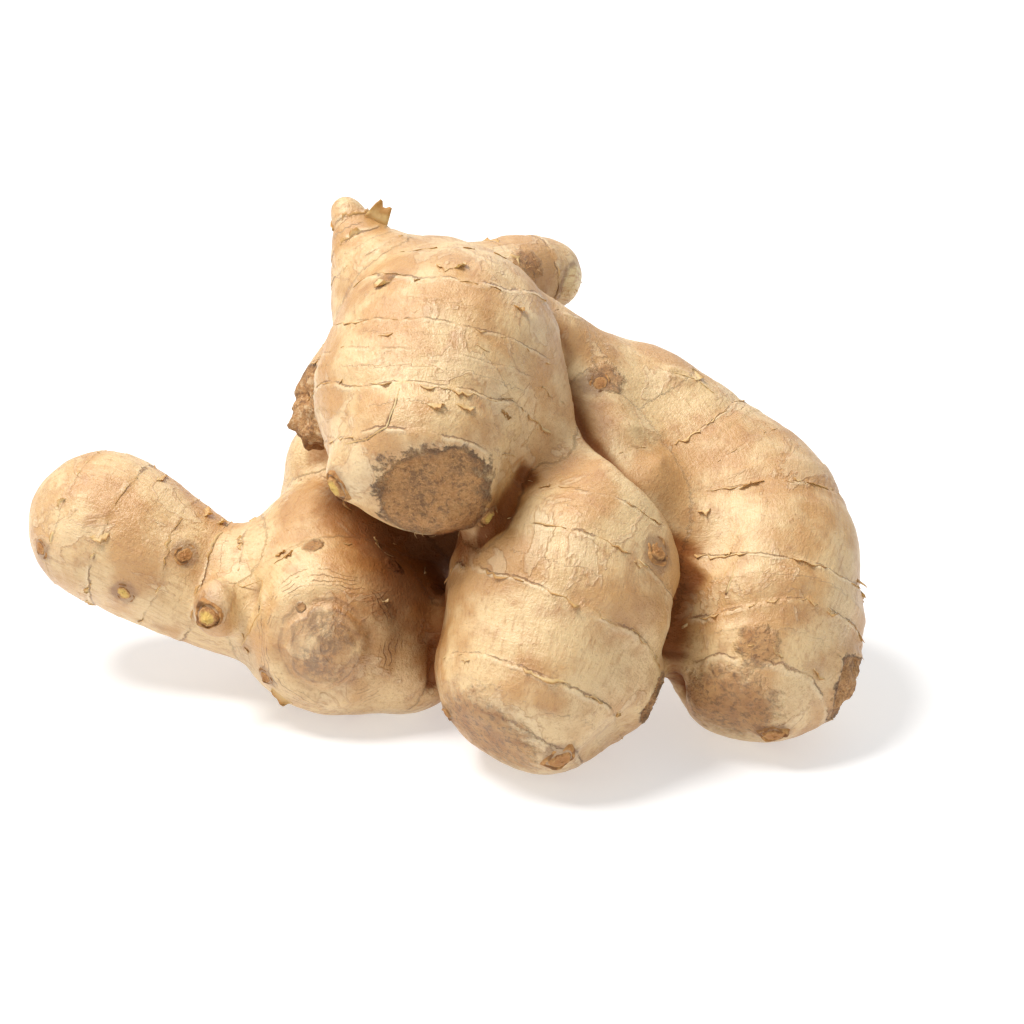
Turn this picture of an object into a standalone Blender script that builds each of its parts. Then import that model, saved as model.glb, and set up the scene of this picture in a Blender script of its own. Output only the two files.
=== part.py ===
"""Ginger root: one whole rhizome, lying on a flat surface.

A rhizome grows as a chain of swollen fingers. Each finger here is a round tube through a few
stations, and all of them are fused into the one solid that a real root is. Where stems and
neighbouring pieces were broken off, the flesh is cut flat. The root rests on small flats under
its lowest fingers.

Frame: metres, +Z up, -Y towards the front, origin at the bottom centre of the bounding box.
Run it with: blender --background --python part.py
"""

import math

import bpy
import bmesh
from mathutils import Matrix, Vector

# Overall sizes, both from 1. REACH spreads the fingers out and GIRTH fattens them.
REACH = 1.0
GIRTH = 1.0

# How thick each finger is at its fattest.
CROWN_THICKNESS = 0.0435
HORN_THICKNESS = 0.0210
RIGHT_THICKNESS = 0.0338
MIDDLE_THICKNESS = 0.0399
LEFT_THICKNESS = 0.0346
FAR_LEFT_THICKNESS = 0.0283
BACK_BUD_THICKNESS = 0.0180
BACK_THICKNESS = 0.0340
CORE_THICKNESS = 0.0367
BUD_THICKNESS = 0.0090

# A finger that lies on the surface is flattened this deep. RESTS stands for the height it then has.
REST_DEPTH = 0.0007
RESTS = None

# Each finger: its thickness, and its stations (x, y, z, share of the thickness) from base to tip.
FINGERS = {
    "crown": (CROWN_THICKNESS, [
        (-0.002, 0.014, 0.063, 0.72),
        (0.000, 0.006, 0.062, 0.88),
        (0.000, -0.004, 0.060, 1.00),
        (-0.002, -0.014, 0.057, 0.95),
        (-0.003, -0.022, 0.055, 0.81),
        (-0.003, -0.026, 0.054, 0.67),
    ]),
    "shoulder": (CROWN_THICKNESS, [
        (-0.010, 0.010, 0.070, 0.50),
        (0.000, 0.010, 0.065, 0.54),
        (0.013, 0.008, 0.060, 0.51),
        (0.023, 0.008, 0.055, 0.43),
    ]),
    "horn": (HORN_THICKNESS, [
        (-0.011, 0.010, 0.070, 1.00),
        (-0.0155, 0.015, 0.077, 0.58),
        (-0.0175, 0.018, 0.0815, 0.33),
    ]),
    "crown_knob": (CROWN_THICKNESS, [
        (-0.014, 0.002, 0.060, 0.36),
        (-0.0195, -0.001, 0.0555, 0.29),
        (-0.0215, -0.003, 0.0505, 0.27),
    ]),
    "back_bud": (BACK_BUD_THICKNESS, [
        (0.004, 0.020, 0.067, 1.00),
        (0.013, 0.028, 0.0675, 0.85),
        (0.0180, 0.032, 0.0665, 0.76),
    ]),
    "middle": (MIDDLE_THICKNESS, [
        (0.015, -0.002, 0.050, 0.66),
        (0.023, -0.008, 0.041, 0.75),
        (0.0245, -0.016, 0.034, 0.94),
        (0.0200, -0.025, 0.027, 1.02),
        (0.0185, -0.030, RESTS, 0.99),
        (0.0163, -0.034, RESTS, 0.90),
    ]),
    "right": (RIGHT_THICKNESS, [
        (0.025, 0.012, 0.053, 0.55),
        (0.0345, 0.012, 0.0475, 0.70),
        (0.0442, 0.008, 0.0385, 0.88),
        (0.0530, 0.000, 0.031, 1.01),
        (0.0550, -0.011, 0.0242, 1.03),
        (0.0548, -0.018, 0.0195, 1.06),
        (0.0535, -0.0237, RESTS, 0.92),
    ]),
    "left": (LEFT_THICKNESS, [
        (-0.012, 0.004, 0.022, 0.82),
        (-0.021, 0.000, 0.022, 0.88),
        (-0.0215, -0.008, RESTS, 0.99),
        (-0.020, -0.0125, RESTS, 0.97),
    ]),
    "left_heel": (LEFT_THICKNESS, [
        (-0.020, -0.012, RESTS, 0.92),
        (-0.009, -0.0125, RESTS, 0.79),
    ]),
    "far_left": (FAR_LEFT_THICKNESS, [
        (-0.022, -0.004, 0.020, 1.12),
        (-0.031, -0.004, 0.018, 1.00),
        (-0.042, -0.002, 0.0185, 0.81),
        (-0.051, 0.000, 0.0225, 0.90),
        (-0.059, 0.003, 0.0265, 1.00),
        (-0.062, 0.004, 0.0275, 1.00),
    ]),
    "back": (BACK_THICKNESS, [
        (0.000, 0.022, 0.040, 0.80),
        (0.006, 0.034, 0.026, 1.00),
        (0.012, 0.044, RESTS, 0.85),
    ]),
    "core": (CORE_THICKNESS, [
        (-0.022, 0.014, 0.036, 0.46),
        (-0.019, 0.013, 0.026, 0.72),
        (-0.003, 0.013, 0.031, 1.00),
        (0.013, 0.012, 0.040, 0.92),
        (0.024, 0.012, 0.048, 0.62),
    ]),
    "left_bud": (BUD_THICKNESS, [
        (-0.036, -0.012, 0.018, 1.00),
        (-0.039, -0.017, 0.020, 0.80),
        (-0.040, -0.019, 0.021, 0.45),
    ]),
    "middle_bud": (BUD_THICKNESS, [
        (0.030, -0.034, 0.014, 1.00),
        (0.0350, -0.0375, 0.0140, 0.80),
    ]),
}

# Each broken end: a point on its flat face, the way the face looks, and the width of the cut.
SCARS = {
    "crown_end": ((-0.002, -0.0370, 0.050), (-0.05, -0.98, -0.15), 0.020),
    "right_end": ((0.048, -0.0350, 0.009), (-0.30, -0.72, -0.62), 0.022),
    "middle_end": ((0.008, -0.0447, 0.0097), (-0.55, -0.60, -0.55), 0.022),
    "middle_toe": ((0.0270, -0.0437, 0.011), (0.60, -0.55, -0.55), 0.014),
    "left_end": ((-0.021, -0.0300, 0.016), (-0.05, -0.98, -0.15), 0.024),
    "right_side": ((0.0692, -0.030, 0.018), (0.85, -0.50, -0.10), 0.014),
    "back_bud_end": ((0.0245, 0.031, 0.063), (0.85, -0.30, -0.40), 0.020),
    "middle_bud_end": ((0.0378, -0.0395, 0.013), (0.80, -0.50, -0.30), 0.010),
}
SCAR_CUT_DEPTH = 0.006

# Finish of the mesh: how finely the fingers are fused, how much the joins are softened, and the
# share of the faces that are kept after that.
VOXEL = 0.0013
SMOOTHING = 3
KEPT_FACES = 0.13

SKIN_COLOUR = (0.68, 0.43, 0.20, 1.0)
SKIN_ROUGHNESS = 0.55


def clear_scene():
    for obj in list(bpy.data.objects):
        bpy.data.objects.remove(obj)


def new_collection(name, parent, hidden):
    collection = bpy.data.collections.new(name)
    collection.hide_render = hidden
    parent.children.link(collection)
    return collection


def stations_of(thickness, rows):
    """A finger's stations as (centre, radius), spread and fattened by the overall sizes."""
    made = []
    for x, y, z, share in rows:
        radius = GIRTH * share * thickness / 2
        height = radius - REST_DEPTH if z is RESTS else REACH * z
        made.append((Vector((REACH * x, REACH * y, height)), radius))
    return made


def catmull_rom(a, b, c, d, t):
    """The smooth curve from b to c, at t from 0 to 1. It works on numbers and on vectors."""
    return 0.5 * (2 * b + (c - a) * t + (2 * a - 5 * b + 4 * c - d) * t**2 + (3 * b - a - 3 * c + d) * t**3)


def smooth_path(stations, steps=6):
    """Closer stations on a smooth curve through these."""
    centres = [centre for centre, _ in stations]
    radii = [radius for _, radius in stations]
    centres = [2 * centres[0] - centres[1], *centres, 2 * centres[-1] - centres[-2]]
    radii = [radii[0], *radii, radii[-1]]
    path = []
    for i in range(1, len(centres) - 2):
        for k in range(steps):
            t = k / steps
            centre = catmull_rom(*centres[i - 1:i + 3], t)
            radius = catmull_rom(*radii[i - 1:i + 3], t)
            path.append((centre, radius))
    path.append((centres[-2], radii[-2]))
    return path


def with_dome(path, steps=5):
    """The path with a round dome added past its last station."""
    centre, radius = path[-1]
    ahead = (centre - path[-2][0]).normalized()
    dome = []
    for k in range(1, steps + 1):
        angle = math.radians(86) * k / steps
        dome.append((centre + ahead * radius * math.sin(angle), radius * math.cos(angle)))
    return path + dome


def finger_path(thickness, rows):
    path = with_dome(smooth_path(stations_of(thickness, rows)))
    return with_dome(path[::-1])


def tube(name, path):
    """A round tube along the path, as a closed mesh."""
    curve = bpy.data.curves.new(name, "CURVE")
    curve.dimensions = "3D"
    curve.bevel_depth = 1.0
    curve.bevel_resolution = 6
    curve.use_fill_caps = True
    spline = curve.splines.new("POLY")
    spline.points.add(len(path) - 1)
    for point, (centre, radius) in zip(spline.points, path):
        point.co = (*centre, 1.0)
        point.radius = radius
    obj = bpy.data.objects.new(name, curve)
    bpy.context.scene.collection.objects.link(obj)
    graph = bpy.context.evaluated_depsgraph_get()
    mesh = bpy.data.meshes.new_from_object(obj.evaluated_get(graph))
    bpy.data.objects.remove(obj)
    return mesh


def joined_fingers():
    """All the fingers in one mesh, still passing through each other."""
    bm = bmesh.new()
    for name, (thickness, rows) in FINGERS.items():
        mesh = tube(name, finger_path(thickness, rows))
        bm.from_mesh(mesh)
        bpy.data.meshes.remove(mesh)
    bmesh.ops.remove_doubles(bm, verts=bm.verts, dist=1e-5)
    bmesh.ops.recalc_face_normals(bm, faces=bm.faces)
    mesh = bpy.data.meshes.new("ginger_root")
    bm.to_mesh(mesh)
    bm.free()
    return mesh


def box(name, collection, matrix, size):
    """A hidden box that cuts."""
    bm = bmesh.new()
    bmesh.ops.create_cube(bm, size=1.0, matrix=matrix @ Matrix.Diagonal((*size, 1.0)))
    mesh = bpy.data.meshes.new(name)
    bm.to_mesh(mesh)
    bm.free()
    obj = bpy.data.objects.new(name, mesh)
    obj.hide_render = True
    obj.display_type = "WIRE"
    collection.objects.link(obj)
    return obj


def scar_block(name, collection, point, facing, width):
    """The box that cuts one broken end flat."""
    facing = Vector(facing).normalized()
    centre = REACH * Vector(point) + facing * SCAR_CUT_DEPTH / 2
    turn = facing.to_track_quat("Z", "Y").to_matrix().to_4x4()
    return box(name, collection, Matrix.Translation(centre) @ turn, (width, width, SCAR_CUT_DEPTH))


def ground_block(collection):
    """The box that cuts the resting flats. Its top face is the surface the root lies on."""
    side = 0.4 * max(REACH, GIRTH)
    return box("ground", collection, Matrix.Translation((0, 0, -0.01)), (side, side, 0.02))


def cut(root, name, cutters):
    """Cuts every object of the collection from the root."""
    modifier = root.modifiers.new(name, "BOOLEAN")
    modifier.operation = "DIFFERENCE"
    modifier.solver = "EXACT"
    modifier.operand_type = "COLLECTION"
    modifier.collection = cutters


def remesh(root, name):
    modifier = root.modifiers.new(name, "REMESH")
    modifier.mode = "VOXEL"
    modifier.voxel_size = VOXEL
    modifier.use_smooth_shade = True


def skin_material():
    material = bpy.data.materials.new("ginger_skin")
    material.use_nodes = True
    shader = material.node_tree.nodes["Principled BSDF"]
    shader.inputs["Base Color"].default_value = SKIN_COLOUR
    shader.inputs["Roughness"].default_value = SKIN_ROUGHNESS
    shader.inputs["Metallic"].default_value = 0.0
    material.diffuse_color = SKIN_COLOUR
    return material


def centre_on_origin(root, cutters):
    """Moves the root and its cutters so that the bounding box stands on z = 0 around x = y = 0."""
    bpy.context.view_layer.update()
    shape = root.evaluated_get(bpy.context.evaluated_depsgraph_get())
    corners = [Vector(corner) for corner in shape.bound_box]
    low = Vector(map(min, *corners))
    high = Vector(map(max, *corners))
    offset = Vector((-(low.x + high.x) / 2, -(low.y + high.y) / 2, -low.z))
    for obj in [root, *cutters]:
        obj.location = offset


def build():
    clear_scene()
    visible = new_collection("ginger_root", bpy.context.scene.collection, hidden=False)
    helpers = new_collection("cutters", bpy.context.scene.collection, hidden=True)
    scar_cutters = new_collection("scar_cutters", helpers, hidden=True)
    ground_cutters = new_collection("ground_cutters", helpers, hidden=True)

    root = bpy.data.objects.new("ginger_root", joined_fingers())
    visible.objects.link(root)
    root.data.materials.append(skin_material())
    for name, (point, facing, width) in SCARS.items():
        scar_block(name, scar_cutters, point, facing, width)
    ground_block(ground_cutters)

    remesh(root, "fuse")
    cut(root, "cut_scars", scar_cutters)
    remesh(root, "even_out")
    soften = root.modifiers.new("soften", "SMOOTH")
    soften.factor = 0.5
    soften.iterations = SMOOTHING
    thin = root.modifiers.new("thin_out", "DECIMATE")
    thin.ratio = KEPT_FACES
    cut(root, "cut_resting_flats", ground_cutters)
    centre_on_origin(root, list(helpers.all_objects))


build()
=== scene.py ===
"""Ginger root: how the finished root looks.

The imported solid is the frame. Its one node is replaced by a fine skin grown from the same shape:
the skin is given lumps, leaf-scale rings, broken-end scars and cracks, and carries buds, papery
flakes and a few rootlets. Lengths are in millimetres until a mesh is made, and the places of the
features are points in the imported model's own frame.
"""

import math
import random
from types import SimpleNamespace

import bmesh
import bpy
import numpy as np
from mathutils import Matrix, Vector, noise
from mathutils.bvhtree import BVHTree
from mathutils.kdtree import KDTree


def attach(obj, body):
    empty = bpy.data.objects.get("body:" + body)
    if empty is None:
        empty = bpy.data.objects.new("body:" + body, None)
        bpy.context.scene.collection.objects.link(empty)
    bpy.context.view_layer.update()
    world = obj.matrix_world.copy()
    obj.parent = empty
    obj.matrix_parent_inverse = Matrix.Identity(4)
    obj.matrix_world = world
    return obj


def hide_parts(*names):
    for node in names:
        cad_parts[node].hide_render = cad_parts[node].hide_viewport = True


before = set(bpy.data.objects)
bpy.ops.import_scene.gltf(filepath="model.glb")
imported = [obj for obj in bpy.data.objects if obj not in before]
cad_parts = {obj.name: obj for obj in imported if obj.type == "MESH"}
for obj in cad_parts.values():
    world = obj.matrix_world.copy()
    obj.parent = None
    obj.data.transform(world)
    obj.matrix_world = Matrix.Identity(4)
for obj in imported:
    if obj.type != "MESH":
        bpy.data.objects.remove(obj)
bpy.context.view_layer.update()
MM = 0.001

# The skin: how finely it is meshed, and how strong its relief is.
COARSE_VOXEL = 1.3
SKIN_VOXEL = 0.62
LUMP_HEIGHT = 0.70
DIMPLE_HEIGHT = 0.15
PIMPLE_HEIGHT = 0.07
RING_RIDGE = 0.20
RING_GROOVE = 0.20
INTERNODE_SWELL = 0.35
FLAKE_THICKNESS = 0.07

# The axis of each finger: points (x, y, z) and the finger's radius there, from base to tip.
AXES = {
    "crown": [
        (0, 11, 63, 16), (2, 3, 62, 19), (2, -7, 60, 22), (0, -17, 57, 21), (-1, -25, 55, 18),
        (-1, -29, 54, 15),
    ],
    "horn": [(-9, 7, 70, 10.5), (-14, 12, 77, 6), (-16, 15, 81, 3.5)],
    "back_bud": [(6, 17, 67, 9), (15, 25, 67, 7.6), (20, 29, 66, 6.8)],
    "middle": [
        (17, -5, 50, 12), (25, -11, 41, 13), (26, -19, 34, 17), (22, -28, 27, 19),
        (20, -33, 22, 19.5), (18, -37, 17.5, 18),
    ],
    "right": [
        (27, 9, 53, 9), (36, 9, 47, 12), (46, 5, 38, 15), (55, -3, 31, 17), (57, -14, 24, 17.5),
        (56, -21, 19, 18), (55, -27, 15, 15.5),
    ],
    "left": [(-10, 1, 22, 14), (-19, -3, 22, 15), (-20, -11, 16.5, 17), (-18, -16, 16, 17)],
    "left_heel": [(-18, -15, 15, 16), (-7, -16, 13, 14)],
    "far_left": [
        (-29, -7, 18, 14), (-40, -5, 18.5, 11.5), (-49, -3, 22.5, 12.7), (-57, 0, 26.5, 14),
        (-60, 1, 27.5, 14),
    ],
    "back": [(2, 19, 40, 14), (8, 31, 26, 17), (14, 41, 14, 14.5)],
    "core": [(-20, 11, 36, 8.4), (-17, 10, 26, 13), (-1, 10, 31, 18), (15, 9, 40, 17), (26, 9, 48, 11)],
}

# The leaf-scale rings of each finger: distance from its base, lean upwards and sideways, strength.
RINGS = {
    "crown": [
        (-6, 0.93, -0.14, 0.4), (2.5, 0.93, -0.14, 0.6), (14.5, 0.93, -0.14, 0.45),
        (22.5, 0.93, -0.14, 0.3), (31.2, 0.93, -0.14, 1.0), (42.5, 0.93, -0.14, 0.6),
    ],
    "horn": [(5, 0, 0, 0.5), (9.5, 0.1, 0, 0.6), (14, 0, 0, 0.6)],
    "back_bud": [(6, 0, 0, 0.5), (15, 0, 0, 0.7)],
    "middle": [
        (14, 0, 0, 0.3), (25, 0.1, 0, 0.4), (34.5, 0, 0, 0.8), (42.5, -0.03, -0.12, 1.0),
        (56, 0, 0, 0.8), (63.5, 0, 0, 0.5),
    ],
    "right": [
        (8.5, 0.2, 0, 0.5), (20, 0.2, 0, 0.7), (31, 0.2, 0, 0.25), (41, 0.2, 0, 1.0),
        (55, 0.18, 0, 1.0), (67, 0.05, 0.16, 1.0), (77, -0.1, 0, 0.5),
    ],
    "left": [(9, 0, 0, 0.4), (17, 0, 0, 0.5), (25, 0, 0, 0.5)],
    "left_heel": [(14, 0, 0, 0.4)],
    "far_left": [
        (4, 0, 0, 0.5), (12, 0, 0, 0.6), (20, 0.1, 0.1, 0.3), (30, 0.1, 0.1, 0.55), (39, 0, 0, 0.25),
    ],
    "back": [(8, 0, 0, 0.4), (17, 0, 0, 0.8), (27, 0, 0, 0.6), (37, 0, 0, 0.8), (44, 0, 0, 0.5)],
    "core": [],
}

# Rings lean only above this height over the finger's axis.
LEAN_LIMIT = -4

# Places where two fingers run together without a crease: a line, and how far from it.
SADDLES = [
    ([(24, -14, 60), (19, -21, 56), (16, -26, 51)], 7.0),
    ([(29, -2, 60), (35, -2, 52), (41, -7, 45), (45, -14, 40), (46, -19, 38)], 7.0),
    ([(-30, -6, 20), (-26, -6, 22)], 7.0),
    ([(6, 14, 70), (10, 16, 68)], 5.0),
]

# Furrows between two fingers or beside a nub: a line on the skin, its width, its depth and how
# dark its painted shade is.
FURROWS = [
    ([(21, -3, 67), (24, -3, 62), (25, -9, 60)], 1.8, 1.2, 0.6),
    ([(25, -9, 60), (27, -19, 53), (34, -26, 49), (41, -27, 41), (44, -28, 35), (44, -30, 31),
      (42, -33, 26), (41, -36, 20), (41, -31, 9)], 1.5, 2.8, 1.0),
    ([(8, -35, 40), (11, -35, 43), (14, -30, 47), (16, -28, 49)], 1.6, 1.8, 1.0),
    ([(1, -31, 27), (0, -27, 17), (0, -26, 8)], 1.5, 2.0, 1.0),
    ([(-40, -16, 27), (-41, -18, 23), (-40, -19, 18), (-38, -20, 15)], 1.1, 1.1, 0.35),
    ([(-34, -17, 28), (-31.5, -21, 25), (-31, -23, 21), (-33, -22, 16)], 1.2, 1.4, 0.55),
]

# Where the right finger dives under the middle one: the line where it goes under, the line where
# it starts to dive, and how deep it goes.
TUCK_UNDER = [(25, -8, 60), (27, -17, 54), (34, -25, 49), (41, -27, 41), (44, -27, 36)]
TUCK_START = [(30, -1, 60), (36, -2, 52), (42, -8, 45), (47, -15, 40), (48, -20, 37)]
TUCK_DEPTH = 4.5
# How far the painted shade reaches from the line where the right finger goes under.
TUCK_SHADE_WIDTH = 3.2

# Local swellings: a point on the skin, how wide and how high.
SWELLINGS = [
    ((-15, -33, 50), 5.0, 2.2), ((73, -17, 37), 9.0, 1.2), ((-17, 15, 83), 3.5, 1.0),
    ((-37, -20, 24), 3.4, 3.0), ((-37, -21, 20), 3.6, 3.4), ((-20, -20, 62), 6.0, 0.8),
    ((57, -38, 9), 4.0, 0.7), ((21, -51, 11), 5.0, 0.8), ((34, -38, 15), 5.0, 0.8),
    ((-24, -12, 52), 4.0, 1.4), ((70, -31, 11), 6.5, 3.6), ((5, -36, 42), 5.0, 1.2),
]

# Rough scars where stems and neighbours broke off: a point on the skin, radius, depth, crumbling.
SCARS = [
    ((0.3, -40, 49.3), 9.6, 0.45, 0.45),
    ((-22, -11, 53), 8.5, 0.5, 1.6),
    ((70, -32, 12), 6.0, 0.9, 1.1),
    ((38, -40, 13), 4.5, 0.7, 0.9),
]

# The scar with growth circles on the left lobe, and the pale end of the bud behind the crown.
ROUND_SCAR = ((-18.5, -32, 18.5), 11.0)
PALE_END = ((25.5, 25.5, 64), 5.0)

# Tips worn brown, and smaller brown marks: a point on the skin and a radius.
MARKS = [
    ((49, -41, 10), 10.5), ((8, -50, 10), 11.5), ((15, 56, 12), 8.0),
    ((-8, -14, 78), 2.3), ((-21, -19, 32), 2.0), ((-7, -18, 28), 2.2), ((0, -19, 24), 2.0),
    ((54, -40, 23), 4.2), ((16, 17, 72), 4.2), ((-23, -29, 25), 1.1), ((35, 15, 58), 2.2),
    ((-60, 8, 40), 2.0), ((60, 2, 45), 1.8), ((-9, 25, 60), 2.6), ((5, 47, 22), 2.4),
    ((30, -3, 57), 3.5),
]

# Resting buds, the "eyes": a point on the skin, radius, height, how yellow the tip is.
BUDS = [
    ((-15, -36, 50), 2.5, 1.2, 1.0), ((9, -34, 44), 2.2, 0.9, 1.0), ((29, -5, 58), 2.0, 0.6, 0.3),
    ((37, -36, 38), 2.6, 0.9, 0.2), ((57, -40, 7), 2.4, 1.0, 0.3),
    ((21, -53, 9), 2.8, 1.1, 0.3), ((2, -42, 11), 1.5, 0.8, 0.4), ((-39, -25, 22), 2.7, 1.7, 1.0),
    ((-29, -27, 11), 1.7, 0.8, 0.3), ((-70, -9, 27), 1.8, 0.6, 0.2), ((-55, -14, 21), 2.0, 0.6, 0.6),
    ((-44, -13, 28), 2.0, 0.7, 0.2), ((20, 40, 24), 2.2, 0.9, 0.3), ((-3, 45, 18), 2.0, 0.8, 0.4),
    ((67, 2, 30), 2.2, 0.9, 0.4), ((44, 19, 38), 2.0, 0.8, 0.3), ((-62, 14, 28), 2.0, 0.8, 0.3),
    ((-22, 20, 38), 2.0, 0.8, 0.3),
]

# Cracks where the skin has torn: lines of points on the skin, and how far the torn edge stands up.
CRACKS = [
    ([(-5, -36, 67), (-5.5, -38, 64), (-7, -40, 61.5), (-10, -39, 59), (-14, -36, 57)], 0.12),
    ([(50, -30, 35), (50, -32, 32), (49, -33, 29)], 0.15),
    ([(42, 3, 56), (46, 3, 55), (50, 1, 54)], 0.5),
    ([(-34, -20, 28), (-31, -23, 26), (-30, -25, 22), (-31, -24, 18), (-34, -21, 14)], 0.5),
]

# The stiff flap of skin on the horn, and loose flakes that lie on the skin: a point on the skin,
# the way it points, its width, length and lift.
HORN_FLAP = ((-11, 12, 81), (0, 1, 0), 4.6, 0.8, 4.0)
LOOSE_FLAKES = [
    ((-42, -4, 32), (0.7, 0, 0.4), 3.5, 1.6, 0.9),
    ((-39, -4, 31), (0.7, 0, 0.4), 3.0, 1.4, 0.8),
    ((-51, -1, 36), (0.7, 0, 0.2), 5.0, 1.6, 0.5),
    ((4, -13, 80), (0.6, -0.6, 0), 3.0, 1.8, 0.9),
    ((14, -17, 75), (0.2, -0.8, -0.5), 1.8, 3.2, 0.8),
    ((-8, -14, 78), (-0.6, -0.5, 0), 3.8, 2.2, 0.7),
    ((45, 5, 55), (0.6, 0.2, -0.6), 5.5, 2.4, 0.7),
    ((46, -18, 38), (0.2, -0.3, -0.9), 3.0, 2.0, 0.6),
    ((-27, -27, 7), (-0.5, -0.4, -0.5), 5.0, 2.2, 0.9),
    ((-9, -26, 25), (0.4, -0.4, -0.6), 1.8, 1.2, 0.4),
    ((-59, -13, 32), (0.3, -0.4, -0.6), 4.0, 2.2, 0.6),
]

# The rootlet on the right finger, and tufts of torn fibres: a point on the skin, how many fibres
# and how widely they are spread.
ROOTLET = (73, -22, 27)
FIBRE_TUFTS = [
    ((-41, -4, 32), 14, 3.0), ((38, -40, 13), 22, 3.4), ((71, -30, 14), 18, 4.5),
    ((16, 17, 72), 14, 2.6), ((0, -40, 42), 12, 8.0), ((-21, -10, 53), 16, 6.5),
    ((-12, 13, 82), 6, 2.0), ((25, 26, 64), 10, 3.5),
]

# The camera and the lights, in metres. A light has its place, size, power and colour.
CAMERA_TARGET = (0.0132, -0.0032, 0.0319)
CAMERA_ELEVATION = 22
CAMERA_DISTANCE = 0.4317
LIGHT_TARGET = (0, 0, 0.03)
KEY_LIGHT = ((-0.48, -0.06, 1.03), 0.45, 15.0, (1.0, 0.985, 0.96))
BACK_LIGHT = ((0.25, 0.95, 0.75), 0.9, 2.5, (1, 1, 1))
STUDIO_STRENGTH = 0.5

rng = np.random.default_rng(7)
random.seed(7)


def srgb(red, green, blue):
    """A colour given as 0 to 255 values on a screen, as the linear colour that a shader takes."""
    linear = []
    for value in (red, green, blue):
        c = value / 255
        linear.append(c / 12.92 if c <= 0.04045 else ((c + 0.055) / 1.055) ** 2.4)
    return (*linear, 1.0)


PALE = srgb(224, 191, 138)
TAN = srgb(198, 150, 90)
DEEP_TAN = srgb(170, 115, 60)
PAPER = srgb(234, 208, 165)
RING_BROWN = srgb(122, 76, 38)
SCAR_STRAW = srgb(204, 152, 92)
SCAR_TAN = srgb(178, 122, 66)
SCAR_BROWN = srgb(104, 66, 36)
SCAR_GREY = srgb(104, 78, 54)
# Painted shade: the dark red-brown laid into crevices, furrows and the tuck, where shade falls.
PAINTED_CREVICE_SHADE = srgb(120, 62, 22)
BUD_YELLOW = srgb(222, 186, 96)
END_CREAM = srgb(236, 210, 148)


# ---- geometry helpers

def unit(vectors):
    return vectors / np.maximum(np.linalg.norm(vectors, axis=-1, keepdims=True), 1e-12)


def dense_axis(rows, step=0.5):
    """Points every half millimetre on a smooth curve through the rows, and on past the tip."""
    rows = np.array(rows, float)
    ends = np.vstack([2 * rows[0] - rows[1], rows, 2 * rows[-1] - rows[-2]])
    ends[0, 3], ends[-1, 3] = rows[0, 3], rows[-1, 3]
    pieces = []
    for i in range(1, len(ends) - 2):
        a, b, c, d = ends[i - 1:i + 3]
        count = max(2, int(np.linalg.norm(c[:3] - b[:3]) / step))
        t = (np.arange(count) / count)[:, None]
        pieces.append(0.5 * (2 * b + (c - a) * t + (2 * a - 5 * b + 4 * c - d) * t**2
                             + (3 * b - a - 3 * c + d) * t**3))
    path = np.vstack([*pieces, ends[-2:-1]])
    ahead = unit(path[-1, :3] - path[-3, :3])
    radius = path[-1, 3]
    beyond = [[*(path[-1, :3] + ahead * step * (k + 1)), radius] for k in range(int(radius / step))]
    return np.vstack([path, beyond])


def nearest_on(path, points, block=4000):
    """The index of the path point nearest to each point."""
    found = np.empty(len(points), int)
    for start in range(0, len(points), block):
        part = points[start:start + block]
        away = ((part[:, None, :] - path[None, :, :3]) ** 2).sum(2)
        found[start:start + block] = away.argmin(1)
    return found


class Finger:
    """Coordinates round one finger: along its axis, and up and sideways from it."""

    def __init__(self, name):
        self.name = name
        self.path = dense_axis(AXES[name])
        self.tangent = unit(np.gradient(self.path[:, :3], axis=0))
        steps = np.linalg.norm(np.diff(self.path[:, :3], axis=0), axis=1)
        self.length = np.concatenate([[0], np.cumsum(steps)])
        self.up = unit(np.array([0, 0, 1.0]) - self.tangent[:, 2:3] * self.tangent)
        self.side = np.cross(self.tangent, self.up)

    def coordinates(self, points):
        """(along, up, side, reach) of each point. Reach is its distance from the axis in radii."""
        j = nearest_on(self.path, points)
        away = points - self.path[j, :3]
        ahead = (away * self.tangent[j]).sum(1)
        across = away - ahead[:, None] * self.tangent[j]
        past = np.where((j == 0) | (j == len(self.path) - 1), np.abs(ahead), 0)
        reach = np.hypot(np.linalg.norm(across, axis=1), past) / self.path[j, 3]
        up = (across * self.up[j]).sum(1)
        side = (across * self.side[j]).sum(1)
        return self.length[j] + ahead, up, side, reach

    def point_outside(self, along, angle):
        """The point one radius out from the axis at an angle from up, with the way out and ahead."""
        j = int(np.abs(self.length - along).argmin())
        outward = math.cos(angle) * self.up[j] + math.sin(angle) * self.side[j]
        radius = self.path[j, 3]
        return self.path[j, :3] + outward * radius, outward, self.tangent[j], radius


def smooth_step(values, low, high):
    t = np.clip((values - low) / (high - low), 0, 1)
    return t * t * (3 - 2 * t)


def bell(values, width):
    return np.exp(-(values / width) ** 2)


def noise_at(points, size, shift=0.0):
    """Smooth noise from -1 to 1 whose lumps are about this many millimetres across."""
    scaled = points / size + shift
    return np.array([noise.noise(Vector(p)) for p in scaled])


def ring_wander(points):
    """How far the leaf-scale rings stray from their planes."""
    return 1.6 * noise_at(points, 16.0) + 0.5 * noise_at(points, 4.0, 11.0)


def nearest_on_line(points, line):
    """The point of a line of points that is nearest to each point."""
    line = np.array(line, float)
    best = np.full(len(points), 1e9)
    found = np.zeros_like(points)
    for a, b in zip(line[:-1], line[1:]):
        t = np.clip(((points - a) @ (b - a)) / ((b - a) @ (b - a)), 0, 1)
        place = a + t[:, None] * (b - a)
        away = np.linalg.norm(points - place, axis=1)
        closer = away < best
        best[closer] = away[closer]
        found[closer] = place[closer]
    return found


def line_distance(points, line):
    return np.linalg.norm(points - nearest_on_line(points, line), axis=1)


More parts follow.
